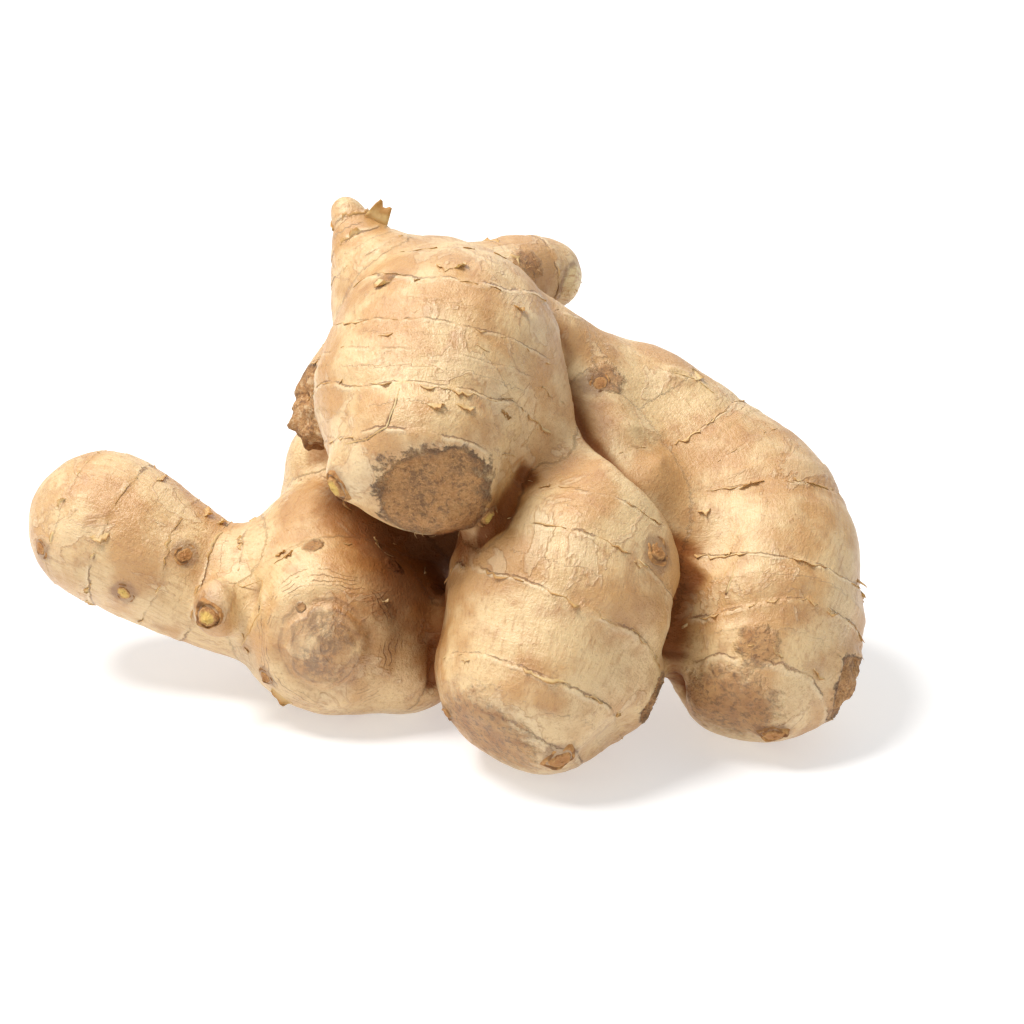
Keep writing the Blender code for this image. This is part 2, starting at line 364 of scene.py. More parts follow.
def read_vectors(mesh, field):
    flat = np.empty(len(mesh.vertices) * 3, np.float32)
    mesh.vertices.foreach_get(field, flat)
    return flat.reshape(-1, 3).astype(float)


def write_points(mesh, points):
    mesh.vertices.foreach_set("co", (points * MM).astype(np.float32).ravel())
    mesh.update()


def add_attribute(mesh, name, values):
    """A number or a vector for each vertex, which the materials read."""
    kind, field = ("FLOAT", "value") if values.ndim == 1 else ("FLOAT_VECTOR", "vector")
    layer = mesh.attributes.new(name, kind, "POINT")
    layer.data.foreach_set(field, values.astype(np.float32).ravel())


def new_object(name, data):
    obj = bpy.data.objects.new(name, data)
    bpy.context.scene.collection.objects.link(obj)
    return obj


def shade_smooth(mesh):
    for polygon in mesh.polygons:
        polygon.use_smooth = True


def apply_modifiers(obj):
    """Puts the object's mesh with its modifiers applied in place of the old one."""
    mesh = bpy.data.meshes.new_from_object(obj.evaluated_get(bpy.context.evaluated_depsgraph_get()))
    obj.modifiers.clear()
    obj.data = mesh


# ---- the skin's base

def fine_skin():
    """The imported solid's shape as an even, fine mesh with its facets smoothed away."""
    skin = new_object("ginger_skin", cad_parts["ginger_root"].data.copy())
    skin.data.materials.clear()
    weld = skin.modifiers.new("weld", "WELD")
    weld.merge_threshold = 0.01 * MM
    for name, size, turns in (("coarse", COARSE_VOXEL, 5), ("fine", SKIN_VOXEL, 7)):
        remesh = skin.modifiers.new(name, "REMESH")
        remesh.mode = "VOXEL"
        remesh.voxel_size = size * MM
        smooth = skin.modifiers.new(name + "_smooth", "SMOOTH")
        smooth.factor = 0.5
        smooth.iterations = turns
    apply_modifiers(skin)
    return skin


def relax(mesh, points, weight, turns):
    """Moves each point towards the middle of its neighbours, as far as its weight says."""
    ends = np.empty(len(mesh.edges) * 2, np.int32)
    mesh.edges.foreach_get("vertices", ends)
    a, b = ends.reshape(-1, 2).T
    near = (weight[a] > 0.01) | (weight[b] > 0.01)
    a, b = a[near], b[near]
    size = len(points)
    count = np.maximum(np.bincount(a, minlength=size) + np.bincount(b, minlength=size), 1)
    step = 0.6 * np.where(weight > 0.01, weight, 0)
    for _ in range(turns):
        for i in range(3):
            total = np.bincount(a, points[b, i], size) + np.bincount(b, points[a, i], size)
            points[:, i] += step * (total / count - points[:, i])


def saddle_at(points):
    """1 where two fingers run together, falling to 0 away from there."""
    weight = np.zeros(len(points))
    for line, width in SADDLES:
        away = line_distance(points, line)
        weight = np.maximum(weight, 1 - smooth_step(away, 0.5 * width, 1.5 * width))
    return weight


def blend_saddles(mesh):
    """Smooths away the crease between two fingers, where they run together."""
    points = read_vectors(mesh, "co") / MM
    relax(mesh, points, saddle_at(points), 200)
    write_points(mesh, points)


# ---- the skin's relief

class Relief:
    """The smooth skin's points, where each lies on its finger, and what is grown there.

    height is how far each point moves out, and fields are the numbers that the material reads.
    """

    def __init__(self, mesh):
        self.base = read_vectors(mesh, "co") / MM
        self.normals = read_vectors(mesh, "normal")
        self.fingers = [Finger(name) for name in AXES]
        measured = [finger.coordinates(self.base) for finger in self.fingers]
        reach = np.array([each[3] for each in measured])
        self.owner = reach.argmin(0)
        self.along = np.choose(self.owner, [each[0] for each in measured])
        self.up = np.choose(self.owner, [each[1] for each in measured])
        self.side = np.choose(self.owner, [each[2] for each in measured])
        first, second = np.sort(reach, axis=0)[:2]
        self.alone = smooth_step(second - first, 0.02, 0.22)
        self.outline = 0.22 * self.noise(7.0, 5.0) + 0.10 * self.noise(2.5, 8.0)
        self.height = np.zeros(len(self.base))
        self.fields = {"grain": np.stack([self.along, self.up, self.side], axis=1)}

    def noise(self, size, shift):
        return noise_at(self.base, size, shift)

    def everywhere(self, value):
        return np.full(len(self.base), value)

    def inside(self, centre, radius):
        """1 at the centre, 0 at the radius and less than 0 beyond it."""
        return 1 - np.linalg.norm(self.base - centre, axis=1) / radius


def measure_rings(relief):
    """How far each point is past the nearest ring of its finger, and how strong that ring is."""
    wander = ring_wander(relief.base)
    ring = relief.everywhere(50.0)
    strength = relief.everywhere(0.0)
    up = np.maximum(relief.up, LEAN_LIMIT)
    for index, finger in enumerate(relief.fingers):
        mine = relief.owner == index
        for start, lean_up, lean_side, weight in RINGS[finger.name]:
            away = relief.along - start - lean_up * up - lean_side * relief.side
            away = away / math.sqrt(1 + lean_up**2 + lean_side**2) + wander
            closer = mine & (np.abs(away) < np.abs(ring))
            ring[closer] = away[closer]
            strength[closer] = weight
    return ring, strength * relief.alone * (1 - 0.85 * saddle_at(relief.base))


def grow_scars(relief):
    """Rough hollows, each with a raised rim."""
    scar = relief.everywhere(-1.0)
    crumbling = relief.everywhere(0.0)
    crumbs = relief.noise(2.6, 14.0) + 0.5 * relief.noise(1.3, 17.0)
    for centre, radius, depth, roughness in SCARS:
        inside = relief.inside(centre, radius) + relief.outline
        rough = roughness * smooth_step(inside, -0.05, 0.25)
        scar = np.maximum(scar, inside)
        crumbling = np.maximum(crumbling, rough)
        relief.height += depth * (0.3 * bell(inside + 0.03, 0.09) - smooth_step(inside, 0.0, 0.2))
        relief.height += rough * crumbs
    relief.fields["scar"] = scar
    relief.fields["crumbling"] = crumbling


def grow_round_scar(relief):
    """A shallow dish with a raised edge and a step inside it."""
    circles = relief.inside(*ROUND_SCAR) + 0.6 * relief.outline
    relief.height += 0.4 * bell(circles, 0.14) - 0.25 * smooth_step(circles, 0.1, 0.5)
    relief.height += 0.3 * bell(circles - 0.42, 0.07) - 0.3 * bell(circles - 0.28, 0.06)
    relief.fields["circles"] = np.clip(circles, -1, 1)


def grow_swellings(relief):
    """The local swellings, and the rise of the skin under each bud."""
    for centre, width, height in SWELLINGS:
        relief.height += height * bell(np.linalg.norm(relief.base - centre, axis=1), width)
    bud = relief.everywhere(-1.0)
    for centre, radius, height, _ in BUDS:
        inside = relief.inside(centre, 2.4 * radius)
        bud = np.maximum(bud, inside)
        relief.height += 0.45 * height * smooth_step(inside, -0.1, 0.8)
    relief.fields["bud"] = bud


def place_marks(relief):
    """The brown marks and the pale end, which have colour but no shape of their own."""
    mark = relief.everywhere(-1.0)
    for centre, radius in MARKS:
        mark = np.maximum(mark, relief.inside(centre, radius))
    relief.fields["mark"] = mark
    relief.fields["pale_end"] = np.clip(relief.inside(*PALE_END) + relief.outline, -1, 1)


def grow_cracks(relief):
    """Narrow cracks, with the skin raised on either side."""
    crack = relief.everywhere(9.0)
    wobble = 0.2 * relief.noise(3.0, 3.0)
    for line, height in CRACKS:
        away = line_distance(relief.base, line) + wobble
        crack = np.minimum(crack, away)
        relief.height += height * (bell(away - 0.9, 0.7) - 0.5 * bell(away, 0.5))
    relief.fields["crack"] = np.clip(crack, 0, 9)


def tuck_at(points):
    """0 where the right finger starts to dive under the middle one, rising to 1 where it goes under."""
    bottom = nearest_on_line(points, TUCK_UNDER)
    toward = nearest_on_line(bottom, TUCK_START) - bottom
    span = np.linalg.norm(toward, axis=1)
    ahead = ((points - bottom) * toward).sum(1) / span
    aside = np.sqrt(np.maximum(((points - bottom) ** 2).sum(1) - ahead**2, 0))
    ramp = np.where(ahead > 0, np.clip(1 - ahead / span, 0, 1), bell(ahead, 1.0))
    return ramp * bell(aside, 4.5)


def grow_furrows(relief, tuck):
    """The furrows and the tuck. Gives the painted shade that darkens each point near a furrow or the tuck.
    """
    # dark is painted shade along the tuck and down each furrow, where shade falls.
    dark = 0.95 * bell(line_distance(relief.base, TUCK_UNDER), TUCK_SHADE_WIDTH)
    wobble = 0.3 * relief.noise(5.0, 6.0)
    for line, width, depth, shade in FURROWS:
        away = line_distance(relief.base, line) + wobble
        dark = np.maximum(dark, shade * bell(away, 1.3 * width))
        sides = min(3.2 * width, 5.0)
        relief.height -= depth * (0.8 * bell(away, width) + 0.3 * bell(away, sides))
    relief.height -= TUCK_DEPTH * tuck
    return dark


def grow_lumps(relief):
    relief.height += LUMP_HEIGHT * relief.noise(13.0, 2.0)
    relief.height += DIMPLE_HEIGHT * relief.noise(4.5, 7.0)
    relief.height += PIMPLE_HEIGHT * relief.noise(1.8, 9.0)


def grow_rings(relief, ring, strength):
    """A ridge and a groove along each ring, and a swelling between the rings."""
    relief.height += strength * RING_RIDGE * bell(ring - 0.5, 0.6)
    relief.height -= strength * RING_GROOVE * bell(ring + 0.5, 0.7)
    relief.height += strength * INTERNODE_SWELL * smooth_step(np.abs(ring), 0.5, 5.0)
    relief.fields["ring"] = np.clip(ring, -8, 8)
    relief.fields["ring_strength"] = strength * bell(ring, 4.5)


def closed_in(points, normals, tree):
    """How closed in each point is, from 0 in the open to 1 deep in a crevice."""
    directions = unit(rng.normal(size=(32, 3)))
    closed = np.zeros(len(points))
    for i, (point, normal) in enumerate(zip(points, normals)):
        start = Vector((point + normal * 0.4) * MM)
        hits = 0
        rays = 0
        for direction in directions:
            if direction @ normal > 0.15:
                rays += 1
                hits += tree.ray_cast(start, Vector(direction), 0.03)[0] is not None
        closed[i] = hits / max(rays, 1)
    return closed


def spread(values, points, targets, near=4):
    """Values known at some points, carried to other points close by."""
    tree = KDTree(len(points))
    for i, point in enumerate(points):
        tree.insert(Vector(point), i)
    tree.balance()
    result = np.empty(len(targets))
    for i, target in enumerate(targets):
        found = tree.find_n(Vector(target), near)
        weights = np.array([1 / (distance + 0.2) for _, _, distance in found])
        result[i] = (weights * values[[index for _, index, _ in found]]).sum() / weights.sum()
    return result


def crevices(points, normals, tree):
    """How closed in each point is, worked out on a sample of the points and spread to the rest; used as
    painted shade.
    """
    sample = rng.choice(len(points), 12000, replace=False)
    closed = closed_in(points[sample], normals[sample], tree)
    return spread(closed, points[sample], points)


def grow_skin(mesh):
    """Gives the smooth skin its relief, and stores what the material needs to know at each point."""
    relief = Relief(mesh)
    ring, strength = measure_rings(relief)
    tuck = tuck_at(relief.base)
    grow_scars(relief)
    grow_round_scar(relief)
    grow_swellings(relief)
    place_marks(relief)
    grow_cracks(relief)
    dark = grow_furrows(relief, tuck)
    rough = np.maximum(relief.fields["scar"], relief.fields["circles"])
    calm = (1 - dark) * (1 - smooth_step(rough, -0.1, 0.2))
    grow_rings(relief, ring, strength * calm)
    grow_lumps(relief)

    points = relief.base + relief.normals * relief.height[:, None]
    relax(mesh, points, 0.9 * bell(tuck - 0.5, 0.45) * smooth_step(tuck, 0.02, 0.2), 100)
    points[:, 2] = np.maximum(points[:, 2], 0.0)
    write_points(mesh, points)

    corners = [Vector(point * MM) for point in points]
    tree = BVHTree.FromPolygons(corners, [tuple(polygon.vertices) for polygon in mesh.polygons])
    # The attribute stored here is painted shade: closed-in points and furrow bottoms are given a darker
    # colour.
    relief.fields["crevice_shade"] = np.maximum(crevices(points, relief.normals, tree), dark)
    for name, values in relief.fields.items():
        add_attribute(mesh, name, values)
    shade_smooth(mesh)
    return relief.fingers, tree


# ---- pieces on the skin

def on_skin(tree, point):
    """The skin's point and normal nearest to a place."""
    found, normal, _, _ = tree.find_nearest(Vector(point) * MM)
    return found / MM, normal


def along_skin(direction, normal):
    """The part of a direction that lies in the skin."""
    flat = Vector(direction) - normal * normal.dot(Vector(direction))
    return flat.normalized()


def join_rows(bm, rows, closed=False):
    """Faces between each row of vertices and the next. Closed rows are rings."""
    for low, high in zip(rows[:-1], rows[1:]):
        for i in range(len(low) if closed else len(low) - 1):
            j = (i + 1) % len(low)
            bm.faces.new((low[i], low[j], high[j], high[i]))


def join_ribbon(bm, last, row):
    """Faces between two neighbouring cross rows of a ribbon."""
    for i in range(len(row) - 1):
        bm.faces.new((last[i], row[i], row[i + 1], last[i + 1]))


def finished(name, bm, thickness=None):
    bmesh.ops.recalc_face_normals(bm, faces=bm.faces)
    mesh = bpy.data.meshes.new(name)
    bm.to_mesh(mesh)
    bm.free()
    shade_smooth(mesh)
    obj = new_object(name, mesh)
    if thickness:
        solid = obj.modifiers.new("thickness", "SOLIDIFY")
        solid.thickness = thickness * MM
        apply_modifiers(obj)
    return obj


def bud_profile(t, angle, phase, yellow):
    """How high a bud stands at t of the way in from its edge: a torn collar round a small dome."""
    collar = 0.55 * math.exp(-((t - 0.33) / 0.10) ** 2) * (1 + 0.5 * math.sin(3 * angle + phase))
    collar += 0.30 * math.exp(-((t - 0.58) / 0.08) ** 2)
    collar *= 0.7 + 0.6 * noise.noise(Vector((2 * math.cos(angle), 2 * math.sin(angle), phase)))
    dome = (0.35 + 0.5 * yellow) * max(0.0, (t - 0.45) / 0.55) ** 0.8
    groove = 0.35 * math.exp(-((t - 0.46) / 0.07) ** 2)
    rough = 0.22 * noise.noise(Vector((5 * t, 3 * math.sin(angle), 3 * math.cos(angle) + phase)))
    return collar + dome - groove, rough


def add_bud(bm, layer, tree, centre, radius, height, yellow):
    """One resting bud. Its edge is draped on the skin, and its tip leans a little."""
    spot, normal = on_skin(tree, centre)
    ahead = along_skin((0, 0, 1), normal)
    across = ahead.cross(normal)
    turns, steps = 40, 18
    tip_shift = (ahead * random.uniform(-0.35, 0.35) + across * random.uniform(-0.35, 0.35)) * radius
    phase = random.uniform(0, 6)
    rows = []
    for j in range(steps + 1):
        t = j / steps
        row = []
        for i in range(turns):
            angle = 2 * math.pi * i / turns
            uneven = 1 + 0.12 * math.sin(2 * angle + phase)
            uneven += 0.25 * noise.noise(Vector((1.5 * math.cos(angle), 1.5 * math.sin(angle), 3 * phase)))
            out = radius * 1.35 * (1 - t) * (uneven if t < 0.8 else 1)
            profile, rough = bud_profile(t, angle, phase, yellow)
            rise = height * profile - 0.35 * (1 - t) ** 2 + height * rough
            place = spot + across * out * math.cos(angle) + ahead * out * math.sin(angle)
            draped, lean = on_skin(tree, place)
            hold = min(1.0, 1.6 * t)
            place = draped.lerp(place, hold) + lean.lerp(normal, hold) * rise + tip_shift * t
            vert = bm.verts.new(place * MM)
            vert[layer] = t + (2 if yellow > 0.5 else 0)
            row.append(vert)
        rows.append(row)
    join_rows(bm, rows, closed=True)
    bm.faces.new(rows[-1])


def buds(tree):
    """The resting buds. bud_part runs from 0 at the edge to 1 at the tip, and is 2 more if yellow."""
    bm = bmesh.new()
    layer = bm.verts.layers.float.new("bud_part")
    for centre, radius, height, yellow in BUDS:
        add_bud(bm, layer, tree, centre, radius, 0.75 * height, yellow)
    return finished("buds", bm)


def add_flake(bm, layer, spot, normal, ahead, width, length, lift, stands=False):
    """One papery flake, fixed at its root, its free edge ragged. It lies along the skin or stands."""
    across = ahead.cross(normal)
    columns, rows = 7, 4
    grid = []
    lean = random.uniform(-0.4, 0.4)
    ragged = [random.uniform(0.45, 1.15) for _ in range(columns)]
    for j in range(rows):
        t = j / (rows - 1)
        line = []
        for i in range(columns):
            u = i / (columns - 1) - 0.5
            taper = 1 - 0.35 * t
            reach = length * t * ragged[i] * (1 - 1.6 * u * u)
            if stands:
                height = lift * t * (0.55 + 0.45 * ragged[i]) - 0.3
            else:
                height = lift * t * t * (1 + lean * u * 2) - 0.12 + 0.06 * math.sin(7 * u + 5 * t)
            place = spot + across * width * u * taper + ahead * reach + normal * height
            vert = bm.verts.new(place * MM)
            vert[layer] = 0.35 + 0.8 * t if stands else t
            line.append(vert)
        grid.append(line)
    join_rows(bm, grid)


def ring_places(finger, ring, tree):
    """Points along one ring, on the skin, each with its normal and the way to the finger's tip."""
    start, lean_up, lean_side, _ = ring
    places = []
    for angle in np.arange(-math.pi, math.pi, 0.045):
        along = start
        for _ in range(3):
            outside, outward, tangent, radius = finger.point_outside(along, angle)
            lean = lean_up * max(radius * math.cos(angle), LEAN_LIMIT) + lean_side * radius * math.sin(angle)
            along = start + lean - ring_wander(outside[None])[0]
        if not 0.5 < along < finger.length[-1] - 3:
            places.append(None)
            continue
        spot, normal = on_skin(tree, outside)
        off = (spot - Vector(outside)).length
        if off > 2.5 or normal.dot(Vector(outward)) < 0.6 or spot.z < 2.5:
            places.append(None)
            continue
        places.append((spot, normal, along_skin(tangent, normal)))
    return places


def belongs(fingers, finger, spot):
    """True where the point is clearly on this finger, away from its neighbours."""
    reach = [other.coordinates(np.array([spot]))[3][0] for other in fingers]
    mine = reach[fingers.index(finger)]
    others = [value for value, other in zip(reach, fingers) if other is not finger]
    return mine + 0.08 < min(others)


def add_frill(bm, layer, fingers, finger, places, weight):
    """The torn edge of a leaf scale: a ragged ribbon that stands off the skin along a ring."""
    last = None
    for found in places:
        row = None
        if found is not None:
            spot, normal, ahead = found
            here = 0.5 + 0.5 * noise.noise(spot / 5.0) + 0.9 * noise.noise(spot / 1.9)
            size = max(0.0, min(1.0, 1.5 * (here + 0.35 * (weight - 0.8) - 0.38)))
            if size > 0.02 and belongs(fingers, finger, spot):
                jagged = size * (0.55 + 0.9 * random.random())
                row = []
                for t, lift in ((0.0, -0.15), (0.45, 0.08), (1.0, 0.34 * jagged)):
                    place = spot + ahead * (0.95 * jagged * t - 0.1) + normal * lift
                    vert = bm.verts.new(place * MM)
                    vert[layer] = t
                    row.append(vert)
        if row and last:
            join_ribbon(bm, last, row)
        last = row


def add_torn_lip(bm, layer, tree, line, height):
    """The curled edge of the skin on one side of a crack."""
    section = ((0, -0.35, -0.15), (0.4, -0.15, 0.06), (0.8, 0.02, 0.13), (1.0, 0.14, 0.10))
    points = [Vector(p) for p in line]
    last = None
    for a, b in zip(points[:-1], points[1:]):
        count = max(2, int((b - a).length / 0.35))
        for k in range(count):
            spot, normal = on_skin(tree, a.lerp(b, k / count))
            aside = (b - a).normalized().cross(normal)
            size = 0.6 + 0.5 * noise.noise(spot / 1.5) + 0.15 * random.random()
            row = []
            for t, out, up in section:
                place = spot + aside * out * size + normal * up * size * (0.8 + height)
                vert = bm.verts.new(place * MM)
                vert[layer] = 0.7 * t
                row.append(vert)
            if last:
                join_ribbon(bm, last, row)
            last = row


def scatter_flakes(bm, layer, finger, ring, tree):
    """A few small flakes at random places along a ring."""
    start, lean_up, lean_side, weight = ring
    radius = finger.path[:, 3].mean()
    for _ in range(int(5 * weight * radius / 16)):
        angle = random.uniform(-math.pi, math.pi)
        along = start + lean_up * radius * math.cos(angle) + lean_side * radius * math.sin(angle)
        if not 0 < along < finger.length[-1]:
            continue
        outside, outward, tangent, _ = finger.point_outside(along, angle)
        spot, normal = on_skin(tree, outside)
        off = (spot - Vector(outside)).length
        if off > 2.5 or normal.dot(Vector(outward)) < 0.7 or spot.z < 3:
            continue
        ahead = along_skin(tangent, normal)
        ahead.rotate(Matrix.Rotation(random.uniform(-0.5, 0.5), 3, normal))
        size = random.uniform(0.5, 1.0) ** 2
        lift = random.uniform(0.15, 0.6)
        add_flake(bm, layer, spot, normal, ahead, 0.8 + 3.2 * size, 0.6 + 1.3 * size, lift)


def flakes(fingers, tree):
    """Remains of the leaf scales. flake_edge runs from 0 where a flake is fixed to 1 at its edge."""
    bm = bmesh.new()
    layer = bm.verts.layers.float.new("flake_edge")
    rings = [(finger, ring) for finger in fingers for ring in RINGS[finger.name]]
    for finger, ring in rings:
        add_frill(bm, layer, fingers, finger, ring_places(finger, ring, tree), ring[3])
    for line, height in CRACKS:
        add_torn_lip(bm, layer, tree, line, height)
    for flake in (HORN_FLAP, *LOOSE_FLAKES):
        centre, way, width, length, lift = flake
        spot, normal = on_skin(tree, centre)
        ahead = along_skin(way, normal)
        add_flake(bm, layer, spot, normal, ahead, width, length, lift, stands=flake is HORN_FLAP)
    for finger, ring in rings:
        scatter_flakes(bm, layer, finger, ring, tree)
    return finished("skin_flakes", bm, FLAKE_THICKNESS)


def add_fibre(bm, start, normal, ahead, length, radius, bend):
    """One rootlet or fibre, a thin tapering tube that bends over."""
    sides, steps = 6, 9
    across = ahead.cross(normal)
    rows = []
    for j in range(steps + 1):
        t = j / steps
        centre = start + normal * length * t * (1 - 0.4 * t * bend) + ahead * length * bend * t * t * 0.8
        centre += across * 0.15 * length * math.sin(4 * t)
        thick = radius * (1 - 0.75 * t)
        row = []
        for i in range(sides):
            angle = 2 * math.pi * i / sides
            direction = across * math.cos(angle) + ahead * math.sin(angle)
            row.append(bm.verts.new((centre + direction * thick) * MM))
        rows.append(row)
    join_rows(bm, rows, closed=True)
    bm.faces.new(rows[0])
    bm.faces.new(rows[-1])


def fibres(tree):
    """A rootlet on the right finger, and short torn fibres round the rough scars and the neck."""
    bm = bmesh.new()
    spot, normal = on_skin(tree, ROOTLET)
    add_fibre(bm, spot - normal * 0.4, normal, Vector((0, 0.3, -0.9)), 3.6, 0.32, 0.9)
    for centre, count, width in FIBRE_TUFTS:
        for _ in range(count):
            offset = Vector((random.gauss(0, 0.5), random.gauss(0, 0.5), random.gauss(0, 0.5)))
            spot, normal = on_skin(tree, Vector(centre) + offset * width)
            ahead = along_skin((0, 0, 1), normal)
            ahead.rotate(Matrix.Rotation(random.uniform(0, 6.28), 3, normal))
            length = random.uniform(0.5, 1.4)
            radius = random.uniform(0.06, 0.12)
            add_fibre(bm, spot - normal * 0.2, normal, ahead, length, radius, random.uniform(0.6, 1.6))
    return finished("fibres", bm)


# ---- materials

class Nodes:
    """Short names for building a node tree."""

    def __init__(self, name):
        self.material = bpy.data.materials.new(name)
        self.material.use_nodes = True
        self.tree = self.material.node_tree
        self.shader = self.tree.nodes["Principled BSDF"]

    def make(self, kind, inputs=None, **settings):
        node = self.tree.nodes.new(kind)
        for key, value in settings.items():
            setattr(node, key, value)
        for key, value in (inputs or {}).items():
            self.put(node.inputs[key], value)
        return node

    def put(self, socket, value):
        if isinstance(value, bpy.types.NodeSocket):
            self.tree.links.new(value, socket)
        else:
            socket.default_value = value

    def shade(self, **values):
        """Sets inputs of the shader. An underscore in a name stands for a space."""
        for name, value in values.items():
            self.put(self.shader.inputs[name.replace("_", " ")], value)

    def math(self, operation, a, b=0.0, c=0.0):
        return self.make("ShaderNodeMath", {0: a, 1: b, 2: c}, operation=operation).outputs[0]

    def add(self, *values):
        total = values[0]
        for value in values[1:]:
            total = self.math("ADD", total, value)
        return total

    def times(self, *values):
        total = values[0]
        for value in values[1:]:
            total = self.math("MULTIPLY", total, value)
        return total

    def wobble(self, noise_value, size):
        """Noise from 0 to 1, made to run from minus half the size to plus half the size."""
        return self.math("MULTIPLY_ADD", noise_value, size, -size / 2)

    def step(self, value, low, high, out_low=0.0, out_high=1.0):
        """A smooth change from out_low to out_high as the value goes from low to high."""
        node = self.make("ShaderNodeMapRange", {0: value, 1: low, 2: high, 3: out_low, 4: out_high},
                         interpolation_type="SMOOTHSTEP")
        return node.outputs[0]

    def mix(self, factor, a, b):
        node = self.make("ShaderNodeMix", data_type="RGBA")
        self.put(node.inputs[0], factor)
        self.put(node.inputs[6], a)
        self.put(node.inputs[7], b)
        return node.outputs[2]

    def attribute(self, name, vector=False):
        node = self.make("ShaderNodeAttribute", attribute_name=name)
        return node.outputs["Vector" if vector else "Fac"]

    def place(self):
        return self.make("ShaderNodeTexCoord").outputs["Object"]

    def noise(self, where, size, detail=3.0, rough=0.55, stretch=None, distortion=0.0):
        """Noise from 0 to 1. size is about how far apart its lumps are, in the units of where."""
        if stretch:
            scaled = self.make("ShaderNodeVectorMath", {0: where, 1: stretch}, operation="MULTIPLY")
            where = scaled.outputs[0]
        node = self.make("ShaderNodeTexNoise", {
            "Vector": where, "Scale": 1 / size, "Detail": detail, "Roughness": rough,
            "Distortion": distortion,
        })
        return node.outputs[0]

    def bump(self, height_mm, strength=1.0):
        """The height is in millimetres. The coat follows it too."""
        node = self.make("ShaderNodeBump", {"Height": height_mm, "Strength": strength, "Distance": MM})
        self.shade(Normal=node.outputs[0], Coat_Normal=node.outputs[0])


def shared_fields(n):
    """The attributes and noises that more than one part of the skin's material uses."""
    place = n.place()
    grain = n.attribute("grain", vector=True)
    return SimpleNamespace(
        place=place,
        grain=grain,
        # Mask of painted shade in crevices and furrows; it also lowers the sheen there.
        crevice_shade=n.attribute("crevice_shade"),
        streaks=n.noise(grain, 1.0, 4.0, 0.6, stretch=(0.22, 1.6, 1.6)),
        fine_streaks=n.noise(grain, 0.35, 3.0, 0.6, stretch=(0.16, 1.5, 1.5)),
        wrinkles=n.noise(grain, 1.0, 4.0, 0.6, stretch=(1.6, 0.45, 0.45), distortion=0.4),
        speckles=n.noise(place, 0.0006, 3.0, 0.7),
        blotches=n.noise(place, 0.005, 4.0, 0.6),
        tufts=n.noise(place, 0.0038, 4.0, 0.6),
        crumbs=n.noise(place, 0.0011, 6.0, 0.75),
        grit=n.noise(place, 0.0005, 5.0, 0.75),
    )


def thin_skin(n, f):
    """Large soft patches, streaks along the finger, wrinkles across it, and speckles."""
    colour = n.mix(n.step(n.noise(f.place, 0.012, 4.0), 0.40, 0.60), PALE, TAN)
    colour = n.mix(n.step(f.streaks, 0.48, 0.80, 0.0, 0.60), colour, DEEP_TAN)
    colour = n.mix(n.step(f.fine_streaks, 0.55, 0.80, 0.0, 0.35), colour, DEEP_TAN)
    colour = n.mix(n.step(f.blotches, 0.50, 0.75, 0.0, 0.55), colour, DEEP_TAN)
    colour = n.mix(n.step(f.wrinkles, 0.58, 0.78, 0.0, 0.40), colour, DEEP_TAN)
    return n.mix(n.step(f.speckles, 0.58, 0.76, 0.0, 0.40), colour, RING_BROWN)


def peeled_skin(n, f, colour):
    """Papery outer skin that has peeled away in places, with a crisp edge."""
    peeling = n.noise(f.grain, 9.0, 4.0, 0.6, stretch=(0.8, 1.0, 1.0), distortion=0.5)
    f.peel = n.step(peeling, 0.575, 0.585)
    f.peel_edge = n.times(n.step(peeling, 0.555, 0.575), n.step(peeling, 0.60, 0.583))
    colour = n.mix(n.times(f.peel, 0.30), colour, PAPER)
    return n.mix(n.times(f.peel_edge, 0.35), colour, DEEP_TAN)


def ring_lines(n, f, colour):
    """Leaf-scale rings: a thin broken brown line, then a pale torn edge and streaks beyond it."""
    strength = n.attribute("ring_strength")
    ring_at = n.add(n.attribute("ring"), n.wobble(n.noise(f.place, 0.0014, 4.0, 0.65), 1.2))
    broken = n.step(n.noise(f.place, 0.0055, 3.0), 0.42, 0.56)
    on = n.times(broken, n.step(strength, 0.05, 0.60))
    f.line = n.times(n.step(ring_at, -0.32, -0.14), n.step(ring_at, 0.08, -0.08), on)
    f.torn = n.times(n.step(ring_at, 0.0, 0.18), n.step(ring_at, 1.0, 0.35), on)
    f.beyond = n.times(n.step(ring_at, 0.3, 0.8), n.step(ring_at, 4.2, 0.8), n.step(strength, 0.1, 0.8))
    colour = n.mix(n.times(f.torn, 0.55), colour, PAPER)
    colour = n.mix(n.times(f.beyond, n.step(f.fine_streaks, 0.45, 0.65), 0.25), colour, DEEP_TAN)
    return n.mix(n.times(f.line, 0.70), colour, RING_BROWN)


